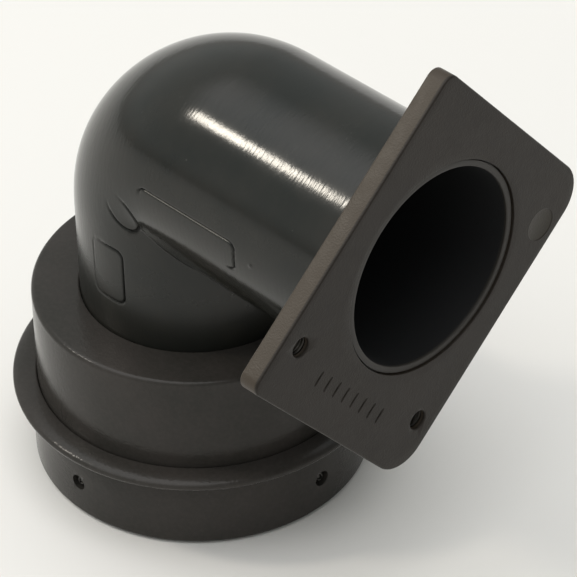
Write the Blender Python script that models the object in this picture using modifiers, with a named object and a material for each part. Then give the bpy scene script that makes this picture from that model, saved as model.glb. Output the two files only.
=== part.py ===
"""Duct elbow: a bent tube between a two-hole mounting plate and a stepped round base.

The drawing's zero is where the tube's two axes cross: the horizontal tube runs along +X to the
plate and the leg runs down to the base. Everything hangs on one empty, which lifts the finished
part onto the ground plane and centres its outer box on the origin. Drawing sizes are millimetres.
"""

import bpy
import bmesh
import numpy as np
from math import cos, pi, radians, sin
from mathutils import Matrix

MM = 0.001
GAP = 0.3                  # play between touching pieces

# Bent tube
TUBE_R = 28.0              # outside
BORE_R = 24.5              # inside
BEND_OUT_R = 50.6          # radius of the bend along its outermost line
MITRE_R = 0.6              # radius left in the mitre's corner on the inside of the bend
MITRE_FROM = -10.7         # offset from the centreline at which the lines start to meet in the mitre
TUBE_SIDES = 56
BEND_STEPS = 12
SHARP_ANGLE = 40.0         # degrees, past which an edge is shaded sharp

# Mounting plate, square to the tube and turned about it
FACE_X = 77.6              # its front face
PLATE_T = 5.2
PLATE_TURN = 50.0          # degrees, from upright towards +Y
PLATE_LEFT, PLATE_RIGHT = 35.1, 35.1    # bore axis to the side edges
PLATE_LOW, PLATE_HIGH = 44.0, 36.6      # bore axis to the edge with the screw holes, and to the far one
CORNER_LEFT, CORNER_RIGHT = 3.0, 9.0
LIP_R, LIP_T = 26.4, 1.2   # lip that the shoulder of the tube's end stops against
NOSE_INSET = 0.5           # the tube's nose, inside the lip, below the face
SCREW_HOLE_X = (-28.4, 28.4)
SCREW_HOLE_Y = -30.3
SCREW_HOLE_R = 2.4
SLEEVE_R, SLEEVE_BORE_R = 2.9, 2.3
CORNER_STEPS = 6

# Stepped base: reducing cup, collar and spigot ring, all round the leg's axis
CUP_TOP_Z = -45.2
CUP_R = 39.8
CUP_WALL = 3.0
CUP_EDGE_R = 1.0
LEG_FOOT_Z = -60.0         # lower end of the leg, inside the cup's socket
NECK_SEAL_T = 1.5
COLLAR_TOP_Z, COLLAR_T = -70.9, 3.0
COLLAR_R = 45.8
SPIGOT_R, SPIGOT_WALL = 41.4, 3.2
SPIGOT_BOTTOM_Z = -94.3
SPIGOT_CHAMFER = 1.0
SKIRT_WALL = 2.8
SEAL_H, SEAL_LIP_R = 3.4, 34.6
SEAL_INSET = 0.4           # the seal's bore beyond the skirt's
SEAL_LIP_AT = 0.9          # height of the sealing lip's edge, as a share of SEAL_H
SCREW_Z = -84.6
SCREW_COUNT = 4
SCREW_HEAD_R, SCREW_SHANK_R = 1.7, 1.1
SCREW_SINK = 0.5           # head below the spigot's face
SCREW_POINT_INSET = 0.4    # point short of the skirt's bore
SCREW_POINT_CHAMFER = 0.5
BASE_SIDES = 64
FINE_SIDES = 20
CUT_PAST = 3.0             # how far a cutter runs past the solid on each side

LEDGE_Z = LEG_FOOT_Z - NECK_SEAL_T - 2 * GAP
SKIRT_R = SPIGOT_R - SPIGOT_WALL - GAP
SKIRT_BORE_R = SKIRT_R - SKIRT_WALL
COLLAR_BOTTOM_Z = COLLAR_TOP_Z - COLLAR_T
SPIGOT_TOP_Z = COLLAR_BOTTOM_Z - GAP
SPIGOT_LIP_T = 1.7
SEAL_BOTTOM_Z = SPIGOT_BOTTOM_Z + SPIGOT_LIP_T + GAP
SKIRT_BOTTOM_Z = SEAL_BOTTOM_Z + SEAL_H + GAP
SHOULDER_X = FACE_X - LIP_T - GAP
NOSE_X, NOSE_R = FACE_X - NOSE_INSET, LIP_R - GAP


def clear_scene():
    for obj in list(bpy.data.objects):
        bpy.data.objects.remove(obj, do_unlink=True)


def new_collection(name, hidden=False):
    made = bpy.data.collections.new(name)
    bpy.context.scene.collection.children.link(made)
    made.hide_render = hidden
    return made


def new_material(name, color, roughness, metallic=0.0):
    made = bpy.data.materials.new(name)
    made.use_nodes = True
    shader = made.node_tree.nodes["Principled BSDF"]
    shader.inputs["Base Color"].default_value = (*color, 1.0)
    shader.inputs["Roughness"].default_value = roughness
    shader.inputs["Metallic"].default_value = metallic
    return made


def add_object(name, mesh, parent, material=None, place=None):
    """A finished piece, or a hidden cutter where no material is given."""
    obj = bpy.data.objects.new(name, mesh)
    (PARTS if material else CUTTERS).objects.link(obj)
    obj.parent = parent
    obj.matrix_local = place or Matrix()
    if material:
        mesh.materials.append(material)
    else:
        obj.hide_render = True
        obj.display_type = "WIRE"
    return obj


def add_empty(name, parent=None, place=None):
    obj = bpy.data.objects.new(name, None)
    PARTS.objects.link(obj)
    obj.parent = parent
    obj.matrix_local = place or Matrix()
    return obj


def arc(centre_r, centre_z, radius, start, end, steps):
    """Points of an arc in the (radius, height) plane; degrees, 0 outwards and 90 up."""
    turn = np.radians(np.linspace(start, end, steps + 1))
    return [(centre_r + radius * cos(t), centre_z + radius * sin(t)) for t in turn]


def turned(name, profile, sides, parent, material=None, place=None):
    """Turns a closed (radius, height) outline about Z. The outline goes down its outer side."""
    mesh = bpy.data.meshes.new(name)
    points = [(r * MM, 0.0, z * MM) for r, z in profile]
    edges = [(i, (i + 1) % len(points)) for i in range(len(points))]
    if profile[0][0] == 0:
        edges.pop()
    mesh.from_pydata(points, edges, [])
    obj = add_object(name, mesh, parent, material, place)
    screw = obj.modifiers.new("turn", "SCREW")
    screw.steps = screw.render_steps = sides
    screw.use_merge_vertices = True
    screw.merge_threshold = 1e-6
    screw.use_smooth_shade = True
    return obj


def cut(obj, cutter):
    boolean = obj.modifiers.new("cut_" + cutter.name, "BOOLEAN")
    boolean.operation = "DIFFERENCE"
    boolean.solver = "EXACT"
    boolean.object = cutter


def rod(name, radius, low, high, parent, place=None):
    """A cylindrical cutter about Z from low to high."""
    mesh = bpy.data.meshes.new(name)
    shape = bmesh.new()
    middle = Matrix.Translation((0, 0, (low + high) / 2 * MM))
    bmesh.ops.create_cone(shape, cap_ends=True, segments=FINE_SIDES, radius1=radius * MM,
                          radius2=radius * MM, depth=(high - low) * MM, matrix=middle)
    shape.to_mesh(mesh)
    shape.free()
    return add_object(name, mesh, parent, None, place)


def bend_rings(radius, start_z, end_x, mitre_r):
    """Rings of the bent tube's wall, from the leg's foot to the tube's end.

    A line along the wall lies at an offset from the centreline, outwards from the bend's centre.
    Its bend's radius grows with the offset, from mitre_r at MITRE_FROM to BEND_OUT_R on the outermost
    line, and both straights run tangent to it, so the lines on the inside meet in a mitre.
    """
    turn = np.linspace(0, 2 * pi, TUBE_SIDES, endpoint=False)
    offset, side = radius * np.cos(turn), radius * np.sin(turn)
    growth = (offset - MITRE_FROM) / (TUBE_R - MITRE_FROM)
    bend = mitre_r + (BEND_OUT_R - mitre_r) * np.maximum(growth, 0)
    centre = bend - offset
    rings = [np.stack([-offset, side, np.full_like(side, start_z)], 1)]
    for angle in np.linspace(0, pi / 2, BEND_STEPS + 1):
        rings.append(np.stack([centre - bend * cos(angle), side, bend * sin(angle) - centre], 1))
    rings.append(np.stack([np.full_like(side, end_x), side, offset], 1))
    return np.array(rings)


def nose_rings():
    """Foot and tip of the short nose that the tube's end carries inside the plate's lip."""
    turn = np.linspace(0, 2 * pi, TUBE_SIDES, endpoint=False)
    side, offset = NOSE_R * np.sin(turn), NOSE_R * np.cos(turn)
    return np.array([np.stack([np.full_like(side, x), side, offset], 1) for x in (SHOULDER_X, NOSE_X)])


def make_elbow_shell(parent, material):
    """Outer and inner wall of the bend, joined at both open ends into one closed skin."""
    outer = bend_rings(TUBE_R, LEG_FOOT_Z, SHOULDER_X, MITRE_R)
    inner = bend_rings(BORE_R, LEG_FOOT_Z, NOSE_X, MITRE_R + TUBE_R - BORE_R)
    loop = np.concatenate([outer, nose_rings(), inner[::-1]])
    count, sides = loop.shape[:2]
    corner = np.arange(count * sides).reshape(count, sides)
    across, along = np.roll(corner, -1, axis=1), np.roll(corner, -1, axis=0)
    both = np.roll(across, -1, axis=0)
    faces = np.stack([corner, along, both, across], -1).reshape(-1, 4)
    mesh = bpy.data.meshes.new("elbow_shell")
    mesh.from_pydata((loop.reshape(-1, 3) * MM).tolist(), [], faces.tolist())
    mesh.shade_smooth()
    mesh.set_sharp_from_angle(angle=radians(SHARP_ANGLE))
    return add_object("elbow_shell", mesh, parent, material)


def plate_outline():
    """Rounded rectangle about the bore's axis, counter-clockwise from the lower right corner."""
    corners = (
        (PLATE_RIGHT, -PLATE_LOW, CORNER_RIGHT, -90),
        (PLATE_RIGHT, PLATE_HIGH, CORNER_RIGHT, 0),
        (-PLATE_LEFT, PLATE_HIGH, CORNER_LEFT, 90),
        (-PLATE_LEFT, -PLATE_LOW, CORNER_LEFT, 180),
    )
    points = []
    for x, y, radius, start in corners:
        inward = (x - radius if x > 0 else x + radius, y - radius if y > 0 else y + radius)
        points += arc(*inward, radius, start, start + 90, CORNER_STEPS)
    return points


def stepped_hole(mouth_r, seat_r):
    """Outline of a cutter: mouth_r through the lip at the plate's face, seat_r behind it."""
    top, bottom = CUT_PAST, -PLATE_T - CUT_PAST
    return ((0, top), (mouth_r, top), (mouth_r, -LIP_T), (seat_r, -LIP_T), (seat_r, bottom), (0, bottom))


def sleeve_places():
    return [Matrix.Translation((x * MM, SCREW_HOLE_Y * MM, 0)) for x in SCREW_HOLE_X]


def make_flange_plate(parent, material):
    """Plate with a lipped seat for the tube's end and a lipped hole for each sleeve."""
    mesh = bpy.data.meshes.new("flange_plate")
    points = [(x * MM, y * MM, 0.0) for x, y in plate_outline()]
    mesh.from_pydata(points, [], [tuple(range(len(points)))])
    plate = add_object("flange_plate", mesh, parent, material)
    thick = plate.modifiers.new("thickness", "SOLIDIFY")
    thick.thickness = PLATE_T * MM
    thick.offset = -1.0
    cut(plate, turned("seat_cutter", stepped_hole(LIP_R, TUBE_R + GAP), TUBE_SIDES, parent))
    hole = stepped_hole(SCREW_HOLE_R, SLEEVE_R + GAP)
    for i, place in enumerate(sleeve_places(), 1):
        cut(plate, turned(f"sleeve_cutter_{i}", hole, FINE_SIDES, parent, None, place))


def make_flange_sleeves(parent, material):
    """Metal sleeves that take the load of the mounting screws, pushed in from behind."""
    top, bottom = -LIP_T - GAP, -PLATE_T
    outline = ((SLEEVE_BORE_R, top), (SLEEVE_R, top), (SLEEVE_R, bottom), (SLEEVE_BORE_R, bottom))
    for i, place in enumerate(sleeve_places(), 1):
        turned(f"flange_sleeve_{i}", outline, FINE_SIDES, parent, material, place)


def make_reducing_cup(parent, material):
    """Cup with a round-edged top, a socket for the leg inside it and a skirt below the collar."""
    neck_r, inner_r = TUBE_R + GAP, CUP_R - CUP_WALL
    socket_r, ceiling_z = neck_r + CUP_WALL, CUP_TOP_Z - CUP_WALL
    outline = [(neck_r, CUP_TOP_Z)]
    outline += arc(CUP_R - CUP_EDGE_R, CUP_TOP_Z - CUP_EDGE_R, CUP_EDGE_R, 90, 0, 4)
    outline += [(CUP_R, COLLAR_BOTTOM_Z), (SKIRT_R, COLLAR_BOTTOM_Z), (SKIRT_R, SKIRT_BOTTOM_Z)]
    outline += [(SKIRT_BORE_R, SKIRT_BOTTOM_Z), (SKIRT_BORE_R, COLLAR_TOP_Z)]
    outline += [(inner_r, COLLAR_TOP_Z + CUP_WALL), (inner_r, ceiling_z), (socket_r, ceiling_z)]
    outline += [(socket_r, LEDGE_Z - CUP_WALL), (BORE_R, LEDGE_Z - CUP_WALL), (BORE_R, LEDGE_Z)]
    outline += [(neck_r, LEDGE_Z)]
    cup = turned("reducing_cup", outline, BASE_SIDES, parent, material)
    for i in range(SCREW_COUNT):
        cut(cup, rod(f"skirt_hole_cutter_{i + 1}", SCREW_SHANK_R + GAP, SKIRT_BORE_R - CUT_PAST,
                     SKIRT_R + CUT_PAST, parent, screw_place(i)))


def make_neck_seal(parent, material):
    """Rubber ring under the leg, on the ledge of the cup's socket."""
    top, bottom = LEG_FOOT_Z - GAP, LEDGE_Z + GAP
    outline = ((BORE_R, top), (TUBE_R, top), (TUBE_R, bottom), (BORE_R, bottom))
    turned("neck_seal", outline, TUBE_SIDES, parent, material)


def make_rim_collar(parent, material):
    """Ring with a round nose that sits round the cup's foot, above the spigot ring."""
    bore_r, nose_r, middle_z = CUP_R + GAP, COLLAR_T / 2, COLLAR_TOP_Z - COLLAR_T / 2
    outline = [(bore_r, COLLAR_TOP_Z)] + arc(COLLAR_R - nose_r, middle_z, nose_r, 90, -90, 8)
    outline.append((bore_r, COLLAR_BOTTOM_Z))
    turned("rim_collar", outline, BASE_SIDES, parent, material)


def make_spigot_ring(parent, material):
    """Ring that slips over the skirt, with a chamfered foot, an inner lip and screw pockets."""
    bore_r, lip_z = SKIRT_R + GAP, SPIGOT_BOTTOM_Z + SPIGOT_LIP_T
    outline = (
        (bore_r, SPIGOT_TOP_Z), (SPIGOT_R, SPIGOT_TOP_Z),
        (SPIGOT_R, SPIGOT_BOTTOM_Z + SPIGOT_CHAMFER), (SPIGOT_R - SPIGOT_CHAMFER, SPIGOT_BOTTOM_Z),
        (SKIRT_BORE_R, SPIGOT_BOTTOM_Z), (SKIRT_BORE_R, lip_z), (bore_r, lip_z),
    )
    ring = turned("spigot_ring", outline, BASE_SIDES, parent, material)
    for i in range(SCREW_COUNT):
        cut(ring, rod(f"pocket_cutter_{i + 1}", SCREW_HEAD_R + GAP, bore_r - CUT_PAST,
                      SPIGOT_R + CUT_PAST, parent, screw_place(i)))


def make_lip_seal(parent, material):
    """Rubber ring held between the skirt and the spigot ring's lip, with an inner sealing lip."""
    top, inner_r = SEAL_BOTTOM_Z + SEAL_H, SKIRT_BORE_R + SEAL_INSET
    outline = ((inner_r, top), (SKIRT_R, top), (SKIRT_R, SEAL_BOTTOM_Z), (inner_r, SEAL_BOTTOM_Z),
               (SEAL_LIP_R, SEAL_BOTTOM_Z + SEAL_LIP_AT * SEAL_H))
    turned("lip_seal", outline, BASE_SIDES, parent, material)


def screw_place(i):
    """The radial frame of a spigot screw: its Z points outwards from the base's axis."""
    turn = Matrix.Rotation(2 * pi * i / SCREW_COUNT, 4, "Z")
    return turn @ Matrix.Translation((0, 0, SCREW_Z * MM)) @ Matrix.Rotation(pi / 2, 4, "Y")


def make_spigot_screws(parent, material):
    """Short round-headed screws that pin the spigot ring to the skirt."""
    top, seat, point = SPIGOT_R - SCREW_SINK, SKIRT_R + GAP, SKIRT_BORE_R + SCREW_POINT_INSET
    dome = arc(0, top - SCREW_HEAD_R, SCREW_HEAD_R, 90, 30, 4)
    outline = dome + [(SCREW_HEAD_R, seat), (SCREW_SHANK_R, seat),
                      (SCREW_SHANK_R, point + SCREW_POINT_CHAMFER),
                      (SCREW_SHANK_R - SCREW_POINT_CHAMFER, point), (0, point)]
    for i in range(SCREW_COUNT):
        turned(f"spigot_screw_{i + 1}", outline, FINE_SIDES, parent, material, screw_place(i))


def stand_on_origin(root):
    """Lifts the part onto the ground plane and centres its outer box on the origin."""
    bpy.context.view_layer.update()
    graph = bpy.context.evaluated_depsgraph_get()
    points = []
    for obj in PARTS.objects:
        if obj.type == "MESH":
            shape = obj.evaluated_get(graph)
            points += [shape.matrix_world @ vertex.co for vertex in shape.data.vertices]
    low, high = np.min(points, axis=0), np.max(points, axis=0)
    root.location = (-(low[0] + high[0]) / 2, -(low[1] + high[1]) / 2, -low[2])


clear_scene()
PARTS = new_collection("duct_elbow")
CUTTERS = new_collection("cutters", hidden=True)

gloss_black = new_material("tube_plastic", (0.020, 0.022, 0.022), 0.28)
matte_charcoal = new_material("plate_plastic", (0.050, 0.045, 0.038), 0.62)
satin_charcoal = new_material("base_plastic", (0.038, 0.036, 0.032), 0.45)
seal_rubber = new_material("seal_rubber", (0.012, 0.012, 0.012), 0.75)
dark_steel = new_material("screw_steel", (0.10, 0.10, 0.10), 0.35, 1.0)
bright_steel = new_material("sleeve_steel", (0.45, 0.45, 0.43), 0.30, 1.0)

root = add_empty("elbow_zero")
turn = radians(PLATE_TURN)
plate_frame = add_empty("plate_frame", root, Matrix((
    (0, 0, 1, FACE_X * MM),
    (cos(turn), sin(turn), 0, 0),
    (-sin(turn), cos(turn), 0, 0),
    (0, 0, 0, 1),
)))

make_elbow_shell(root, gloss_black)
make_flange_plate(plate_frame, matte_charcoal)
make_flange_sleeves(plate_frame, bright_steel)
make_reducing_cup(root, satin_charcoal)
make_neck_seal(root, seal_rubber)
make_rim_collar(root, satin_charcoal)
make_spigot_ring(root, satin_charcoal)
make_lip_seal(root, seal_rubber)
make_spigot_screws(root, dark_steel)
stand_on_origin(root)
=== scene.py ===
"""Duct elbow: the finished surfaces, their materials, and the stage they stand on.

Lengths in the profiles are millimetres about the elbow's own zero, where the axes of its two
tubes cross: the horizontal tube runs along +X to the plate, the leg runs down to the base.
"""

import bmesh
import bpy
import numpy as np
from math import cos, radians, sin, tan, tau
from mathutils import Matrix, Vector


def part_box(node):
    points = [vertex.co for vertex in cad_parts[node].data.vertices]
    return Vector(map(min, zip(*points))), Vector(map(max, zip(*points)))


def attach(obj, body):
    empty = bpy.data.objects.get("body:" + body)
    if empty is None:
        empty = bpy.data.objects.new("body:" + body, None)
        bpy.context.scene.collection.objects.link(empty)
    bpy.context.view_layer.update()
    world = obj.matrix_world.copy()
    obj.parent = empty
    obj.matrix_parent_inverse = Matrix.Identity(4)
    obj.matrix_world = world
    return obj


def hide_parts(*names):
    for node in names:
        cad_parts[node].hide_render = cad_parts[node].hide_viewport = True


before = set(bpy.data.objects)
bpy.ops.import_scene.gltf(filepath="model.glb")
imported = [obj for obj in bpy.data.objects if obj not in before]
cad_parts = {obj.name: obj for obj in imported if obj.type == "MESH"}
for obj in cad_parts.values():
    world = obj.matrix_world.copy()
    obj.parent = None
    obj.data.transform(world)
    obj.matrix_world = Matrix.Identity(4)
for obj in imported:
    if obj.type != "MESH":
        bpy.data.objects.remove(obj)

bl_info = {
    "name": "Duct elbow finish",
    "version": (1, 0, 0),
    "blender": (4, 5, 0),
    "location": "View3D > Sidebar > Duct elbow",
    "description": "Builds the finished surfaces of a flanged duct elbow round its packed frame",
    "category": "Object",
}

MM = 0.001
INSIDE_CAD = 0.04          # how far a finer outline keeps inside the CAD's coarser one
SAME_POINT = 1e-7          # points closer than this are merged
PAST = 3.0                 # how far a cutter runs past what it cuts
SCREWS = 4                 # pinning screws round the spigot
SHARP_ANGLE = radians(38)  # edges that turn by more than this are drawn sharp
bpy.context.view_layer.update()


def middle(node, axis):
    low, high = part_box(node)
    return (low[axis] + high[axis]) / 2


def width(node, axis):
    low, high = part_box(node)
    return high[axis] - low[axis]


TUBE_RADIUS = width("elbow_shell", 1) / 2
ZERO = Vector((
    middle("spigot_ring", 0),
    middle("spigot_ring", 1),
    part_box("elbow_shell")[1].z - TUBE_RADIUS,
))


def height(node, end):
    """Height above the elbow's zero of a node's bottom (0) or top (1)."""
    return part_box(node)[end].z - ZERO.z


# ---------------------------------------------------------------- settings

def length(name, description, default):
    return bpy.props.FloatProperty(name=name, description=description, default=default,
                                   subtype="DISTANCE", unit="LENGTH", precision=5)


def angle(name, description, degrees):
    return bpy.props.FloatProperty(name=name, description=description, default=radians(degrees),
                                   subtype="ANGLE")


def colour(name, description, default):
    return bpy.props.FloatVectorProperty(name=name, description=description, default=default,
                                         size=3, min=0.0, subtype="COLOR")


class TubeSizes(bpy.types.PropertyGroup):
    radius: length("Radius", "Outside radius of the bent tube", TUBE_RADIUS)
    wall: length("Wall", "Thickness of its wall", 3.5 * MM)
    bend_out: length("Outer bend", "Radius of the bend along its outermost line", 50.6 * MM)
    mitre: length("Mitre", "Radius left in the crease on the inside of the bend", 0.6 * MM)
    mitre_from: length("Mitre start", "Offset at which the lines begin to meet in the crease",
                       -10.7 * MM)
    foot: length("Foot", "Height of the leg's lower end", height("elbow_shell", 0))
    end: length("End", "Distance of the nose at the tube's end",
                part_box("elbow_shell")[1].x - ZERO.x)
    nose: length("Nose", "Radius of the nose", 26.1 * MM)
    nose_length: length("Nose length", "From the nose's end back to the shoulder", 1.0 * MM)
    groove: length("Groove depth", "Depth of the engraved outlines", 0.45 * MM)
    groove_width: length("Groove width", "Half width of the engraved outlines", 0.24 * MM)


class PlateSizes(bpy.types.PropertyGroup):
    face: length("Face", "Distance of the front face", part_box("flange_plate")[1].x - ZERO.x)
    thickness: length("Thickness", "Thickness of the plate", width("flange_plate", 0))
    turn: angle("Turn", "Turn of the plate about the tube", 50.0)
    left: length("Left", "Bore axis to the left edge", 35.1 * MM)
    right: length("Right", "Bore axis to the right edge", 35.1 * MM)
    low: length("Low", "Bore axis to the edge with the screw holes", 44.0 * MM)
    high: length("High", "Bore axis to the far edge", 36.6 * MM)
    corner_left: length("Left corners", "Radius of the left corners", 3.0 * MM)
    corner_right: length("Right corners", "Radius of the right corners", 9.0 * MM)
    edge: length("Edge", "Rounding of the plate's edges", 0.45 * MM)
    mouth: length("Mouth", "Radius of the mouth in the face", 26.4 * MM)
    lip: length("Lip", "Thickness of the lip round the mouth", 1.2 * MM)
    seat: length("Seat", "Radius of the seat for the tube's end", 28.3 * MM)
    hole: length("Hole", "Radius of the screw holes", 2.4 * MM)
    hole_seat: length("Sleeve seat", "Radius of the sleeve's seat behind the hole", 3.2 * MM)
    hole_left: length("Left hole", "Place of the left hole", -28.4 * MM)
    hole_right: length("Right hole", "Place of the right hole", 28.4 * MM)
    hole_row: length("Hole row", "Height of the row of holes", -30.3 * MM)


class BaseSizes(bpy.types.PropertyGroup):
    cup: length("Cup", "Outside radius of the cup", 39.8 * MM)
    cup_top: length("Cup top", "Height of the cup's top", height("reducing_cup", 1))
    cup_edge: length("Cup edge", "Rounding of the cup's top edge", 1.2 * MM)
    collar: length("Collar", "Outside radius of the collar", width("rim_collar", 0) / 2)
    spigot: length("Spigot", "Outside radius of the spigot", width("spigot_ring", 0) / 2)
    foot: length("Foot", "Height of the spigot's foot", height("spigot_ring", 0))
    skirt: length("Skirt", "Outside radius of the cup's skirt", 37.9 * MM)
    skirt_bore: length("Skirt bore", "Inside radius of the cup's skirt", 35.1 * MM)
    screw_row: length("Screw row", "Height of the pinning screws", -84.6 * MM)
    screw_head: length("Screw head", "Radius of a screw's head", 1.7 * MM)
    screw_shank: length("Screw shank", "Radius of a screw's shank", 1.1 * MM)
    screw_sink: length("Screw sink", "Depth of a head below the spigot's face", 0.5 * MM)


class FinishColours(bpy.types.PropertyGroup):
    tube: colour("Tube", "Gloss plastic of the bent tube", (0.0130, 0.0135, 0.0122))
    plate: colour("Plate", "Grained plastic of the plate", (0.0175, 0.0140, 0.0110))
    base: colour("Base", "Satin plastic of the base", (0.0300, 0.0268, 0.0243))
    rubber: colour("Rubber", "Rubber of the seals", (0.010, 0.010, 0.010))
    screw: colour("Screw", "Blackened steel of the screws", (0.055, 0.055, 0.055))
    # painted shade: the sleeves' steel is painted far darker than steel, so that the screw holes
    # read dark
    sleeve: colour("Sleeve", "Steel of the sleeves", (0.06, 0.056, 0.05))


AIM_FROM_ZERO = (30.72, 0.72, -32.26)


class StageSettings(bpy.types.PropertyGroup):
    azimuth: angle("Azimuth", "Camera turn from the front", 45.86)
    elevation: angle("Elevation", "Camera height above the horizon", 38.96)
    roll: angle("Roll", "Camera roll", -1.449)
    distance: length("Distance", "Camera to the point it looks at", 883.4 * MM)
    lens: bpy.props.FloatProperty(name="Lens", description="Focal length on a 36 mm sensor",
                                  default=236.5, unit="CAMERA")
    aim: bpy.props.FloatVectorProperty(name="Aim", description="Point the camera looks at",
                                       default=tuple(ZERO + Vector(AIM_FROM_ZERO) * MM), size=3,
                                       subtype="TRANSLATION")
    floor: colour("Floor", "Pale floor", (0.76, 0.745, 0.72))
    room: colour("Room", "Soft light from the lit side", (0.74, 0.77, 0.75))
    shade: colour("Shade", "Soft light from the far side", (0.31, 0.315, 0.31))
    horizon: colour("Horizon", "Light near the floor", (0.48, 0.465, 0.44))
    key_power: bpy.props.FloatProperty(name="Key", description="Power of the small warm lamp",
                                       default=2.9, unit="POWER")
    top_strength: bpy.props.FloatProperty(
        name="Top", description="Brightness of the wide soft light overhead", default=2.6)


GROUPS = {
    "duct_tube": TubeSizes,
    "duct_plate": PlateSizes,
    "duct_base": BaseSizes,
    "duct_colours": FinishColours,
    "duct_stage": StageSettings,
}


# ---------------------------------------------------------------- surfaces

def grid_quads(rows, columns, close_rows=True):
    """Quads of a grid whose columns close up, and whose rows do too unless told otherwise."""
    corner = np.arange(rows * columns).reshape(rows, columns)
    across, down = np.roll(corner, -1, axis=1), np.roll(corner, -1, axis=0)
    both = np.roll(across, -1, axis=0)
    quads = np.stack([corner, down, both, across], -1)
    return (quads if close_rows else quads[:-1]).reshape(-1, 4)


def arc(centre_r, centre_z, radius, start, end, steps=6):
    """Points (centre + radius * (cos a, sin a)) for angles a from start to end, in degrees."""
    turn = np.radians(np.linspace(start, end, steps + 1))
    return np.stack([centre_r + radius * np.cos(turn), centre_z + radius * np.sin(turn)], 1)


def outline(*pieces):
    """One (radius, height) array from points and arcs given in order."""
    return np.concatenate([np.atleast_2d(np.asarray(piece, float)) for piece in pieces])


def lathe(profile, sides):
    """The surface (r cos a, r sin a, z) for a closed profile of (r, z) and a full turn of a."""
    turn = np.linspace(0, tau, sides, endpoint=False)
    r, z = profile[:, :1], profile[:, 1:]
    points = np.stack([r * np.cos(turn), r * np.sin(turn), z + 0 * turn], -1)
    return points.reshape(-1, 3), grid_quads(len(profile), sides)


def placed(points, matrix=None):
    """Millimetre points about the elbow's zero, or in a frame about it, as metres in the CAD's."""
    turned = np.array(matrix or Matrix())
    moved = points @ turned[:3, :3].T + turned[:3, 3]
    return moved * MM + np.array(ZERO)


def new_object(name, points, quads, **shares):
    """A mesh object from whole arrays; each further array becomes a point attribute."""
    mesh = bpy.data.meshes.new(name)
    mesh.from_pydata(points.tolist(), [], quads.tolist())
    for key, values in shares.items():
        mesh.attributes.new(key, "FLOAT", "POINT").data.foreach_set("value", values)
    shape = bmesh.new()
    shape.from_mesh(mesh)
    bmesh.ops.remove_doubles(shape, verts=shape.verts, dist=SAME_POINT)
    shape.to_mesh(mesh)
    shape.free()
    obj = bpy.data.objects.new(name, mesh)
    bpy.context.scene.collection.objects.link(obj)
    return obj


def carve(obj, cutters):
    """Takes each cutter away from obj with an exact Boolean, and keeps the result as its mesh."""
    for cutter in cutters:
        boolean = obj.modifiers.new(cutter.name, "BOOLEAN")
        boolean.operation, boolean.solver, boolean.object = "DIFFERENCE", "EXACT", cutter
    bpy.context.view_layer.update()
    graph = bpy.context.evaluated_depsgraph_get()
    mesh = bpy.data.meshes.new_from_object(obj.evaluated_get(graph))
    obj.modifiers.clear()
    obj.data = mesh
    for cutter in cutters:
        bpy.data.objects.remove(cutter, do_unlink=True)


def finished(obj, material, slot, *nodes):
    """Shades the piece, gives it its material, and ties it to the frame."""
    obj.data.shade_smooth()
    obj.data.set_sharp_from_angle(angle=SHARP_ANGLE)
    obj.data.materials.clear()
    obj.data.materials.append(material)
    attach(obj, "root")
    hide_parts(*nodes)
    return obj


def box_outline(u, v, centre, half, corner):
    """Distance from the outline of a rounded rectangle: that of a box shrunk by the corner radius,
    less the corner radius."""
    du, dv = np.abs(u - centre[0]) - half[0] + corner, np.abs(v - centre[1]) - half[1] + corner
    outside = np.hypot(np.maximum(du, 0), np.maximum(dv, 0))
    return outside + np.minimum(np.maximum(du, dv), 0) - corner


def drop_outline(u, v, centre, direction, long, short):
    """Distance from the outline of an ellipse, as (scaled radius - 1) times its short half axis,
    and the place along its long axis from -1 to 1."""
    along = ((u - centre[0]) * direction[0] + (v - centre[1]) * direction[1]) / long
    across = ((u - centre[0]) * direction[1] - (v - centre[1]) * direction[0]) / short
    return (np.hypot(along, across) - 1) * short, along


def smooth_step(value, low, high):
    """0 below low and 1 above high, by 3 t squared - 2 t cubed between them."""
    t = np.clip((value - low) / (high - low), 0, 1)
    return t * t * (3 - 2 * t)


# What is engraved on the side of the tube, by place along X and height
TAG = (0.0, -27.4), (4.9, 7.8), 2.0                  # centre, half sides, corner radius
TAG_SUNK, TAG_FAINTEST = 0.03, 0.25                  # depth of its floor, its line's least share
PANEL = (27.6, 0.0), (15.4, 3.7), 1.8                # centre, half sides, corner radius
PANEL_STRENGTH = 0.95
DROP = (5.6, -7.2), (0.66, -0.75), 5.6, 3.4          # centre, direction, half axes
PIP, PIP_RADIUS, PIP_RISE = (48.3, 0.8), 0.45, 0.22


def engraving(x, z, depth, half_width):
    """Depth of the engraved outlines at a place on the side of the tube: each is a bell-shaped
    groove, depth * exp(-(distance / half width) squared), weaker where the tool ran out. The pip
    stands up as such a bell."""
    def groove(distance, strength=1.0):
        return depth * strength * np.exp(-(distance / half_width) ** 2)

    tag = box_outline(x, z, *TAG)
    cut = groove(tag, TAG_FAINTEST + (1 - TAG_FAINTEST) * smooth_step(x, -4.0, 4.0))
    cut += TAG_SUNK * smooth_step(-tag, 0.0, 0.5)
    panel = box_outline(x, z, *PANEL)
    top_or_end = np.maximum(smooth_step(z, 1.0, 3.2), smooth_step(x, 40.0, 42.5))
    cut += groove(panel, PANEL_STRENGTH * top_or_end)
    drop, along = drop_outline(x, z, *DROP)
    cut += groove(drop, smooth_step(along, -0.9, 0.3))
    pip = np.hypot(x - PIP[0], z - PIP[1])
    return cut - PIP_RISE * np.exp(-(pip / PIP_RADIUS) ** 2)


def clustered(low, high, step, spots, fine, beside=4):
    """Evenly stepped places from low to high, with finer ones round each spot."""
    near = [spot + fine * np.arange(-beside, beside + 1) for spot in spots]
    even = np.arange(low, high, step)
    far = np.all([np.abs(even - spot) > (beside + 0.6) * fine for spot in spots], axis=0)
    return np.sort(np.concatenate([even[far], *near]))


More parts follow.
